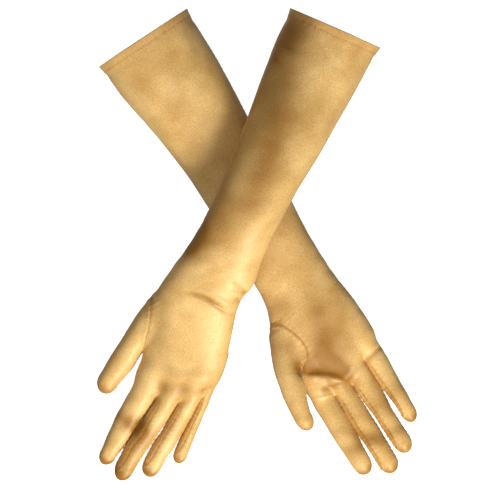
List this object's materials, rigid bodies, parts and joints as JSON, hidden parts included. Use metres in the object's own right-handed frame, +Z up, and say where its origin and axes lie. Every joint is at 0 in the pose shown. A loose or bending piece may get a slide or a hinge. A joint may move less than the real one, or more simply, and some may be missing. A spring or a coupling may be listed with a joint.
{
  "type": "opera gloves",
  "caption": "Elbow-length satin opera gloves, filled out as if worn and crossed in an X, with set-in thumbs, finger fourchettes and hemmed cuffs.",
  "frame": {"origin": "the middle of the crossed pair's footprint, on the surface that it lies on", "axes": "+Z up, +Y from the fingertips towards the cuffs, +X to the right seen from above with the cuffs away"},
  "size_m": [0.28, 0.4146, 0.097],
  "materials": {
    "satin": "stretch satin with a soft sheen",
    "satin_fourchette": "stretch satin with a soft sheen",
    "satin_hem": "stretch satin, two layers",
    "thread": "sewing thread"
  },
  "bodies": {
    "right_forearm": {"right_sleeve": "satin", "right_hem_band": "satin_hem", "right_hem_stitching": "thread", "right_sleeve_side_seam": "thread"},
    "right_palm": {"right_hand": "satin", "right_hand_side_seam": "thread", "right_thumb_seam": "thread"},
    "right_thumb_digit": {"right_thumb": "satin"},
    "right_index_digit": {"right_index_finger": "satin", "right_index_fourchette_little_side": "satin_fourchette", "right_index_seams": "thread"},
    "right_middle_digit": {"right_middle_finger": "satin", "right_middle_fourchette_thumb_side": "satin_fourchette", "right_middle_fourchette_little_side": "satin_fourchette", "right_middle_seams": "thread"},
    "right_ring_digit": {"right_ring_finger": "satin", "right_ring_fourchette_thumb_side": "satin_fourchette", "right_ring_fourchette_little_side": "satin_fourchette", "right_ring_seams": "thread"},
    "right_little_digit": {"right_little_finger": "satin", "right_little_fourchette_thumb_side": "satin_fourchette", "right_little_seams": "thread"},
    "left_forearm": {"left_sleeve": "satin", "left_hem_band": "satin_hem", "left_hem_stitching": "thread", "left_sleeve_side_seam": "thread"},
    "left_palm": {"left_hand": "satin", "left_hand_side_seam": "thread", "left_thumb_seam": "thread"},
    "left_thumb_digit": {"left_thumb": "satin"},
    "left_index_digit": {"left_index_finger": "satin", "left_index_fourchette_little_side": "satin_fourchette", "left_index_seams": "thread"},
    "left_middle_digit": {"left_middle_finger": "satin", "left_middle_fourchette_thumb_side": "satin_fourchette", "left_middle_fourchette_little_side": "satin_fourchette", "left_middle_seams": "thread"},
    "left_ring_digit": {"left_ring_finger": "satin", "left_ring_fourchette_thumb_side": "satin_fourchette", "left_ring_fourchette_little_side": "satin_fourchette", "left_ring_seams": "thread"},
    "left_little_digit": {"left_little_finger": "satin", "left_little_fourchette_thumb_side": "satin_fourchette", "left_little_seams": "thread"}
  },
  "joints": [
    {"name": "right_wrist_fold", "type": "hinge", "parent": "right_forearm", "child": "right_palm", "pos_m": [0.0399, -0.0416, 0.0404], "axis": [-0.8678, -0.497, 0], "range_deg": [0, 45]},
    {"name": "right_thumb_swing", "type": "hinge", "parent": "right_palm", "child": "right_thumb_digit", "pos_m": [0.01679, -0.11828, 0.028], "axis": [0, 0, -1], "range_deg": [0, 30]},
    {"name": "right_index_curl", "type": "hinge", "parent": "right_palm", "child": "right_index_digit", "pos_m": [0.06355, -0.14341, 0.02413], "axis": [-0.8768, -0.4809, 0], "range_deg": [0, 75]},
    {"name": "right_middle_curl", "type": "hinge", "parent": "right_palm", "child": "right_middle_digit", "pos_m": [0.08029, -0.13349, 0.02433], "axis": [-0.8738, -0.4863, 0], "range_deg": [0, 75]},
    {"name": "right_ring_curl", "type": "hinge", "parent": "right_palm", "child": "right_ring_digit", "pos_m": [0.09679, -0.12308, 0.02443], "axis": [-0.8753, -0.4836, 0], "range_deg": [0, 75]},
    {"name": "right_little_curl", "type": "hinge", "parent": "right_palm", "child": "right_little_digit", "pos_m": [0.10735, -0.10456, 0.0225], "axis": [-0.8695, -0.4939, 0], "range_deg": [0, 75]},
    {"name": "left_lift", "type": "slide", "parent": "right_forearm", "child": "left_forearm", "axis": [0, 0, 1], "range_m": [0, 0.15]},
    {"name": "left_wrist_fold", "type": "hinge", "parent": "left_forearm", "child": "left_palm", "pos_m": [-0.048, -0.039, 0.0702], "axis": [-0.9011, 0.4337, 0], "range_deg": [0, 45]},
    {"name": "left_thumb_swing", "type": "hinge", "parent": "left_palm", "child": "left_thumb_digit", "pos_m": [-0.12208, -0.08514, 0.021], "axis": [0, 0, -1], "range_deg": [0, 30]},
    {"name": "left_index_curl", "type": "hinge", "parent": "left_palm", "child": "left_index_digit", "pos_m": [-0.09985, -0.13634, 0.02806], "axis": [-0.8552, 0.5183, 0], "range_deg": [0, 35]},
    {"name": "left_middle_curl", "type": "hinge", "parent": "left_palm", "child": "left_middle_digit", "pos_m": [-0.08219, -0.14555, 0.02722], "axis": [-0.8548, 0.519, 0], "range_deg": [0, 35]},
    {"name": "left_ring_curl", "type": "hinge", "parent": "left_palm", "child": "left_ring_digit", "pos_m": [-0.06357, -0.1471, 0.0248], "axis": [-0.8811, 0.473, 0], "range_deg": [0, 35]},
    {"name": "left_little_curl", "type": "hinge", "parent": "left_palm", "child": "left_little_digit", "pos_m": [-0.042, -0.13819, 0.02275], "axis": [-0.8991, 0.4377, 0], "range_deg": [0, 35]}
  ]
}
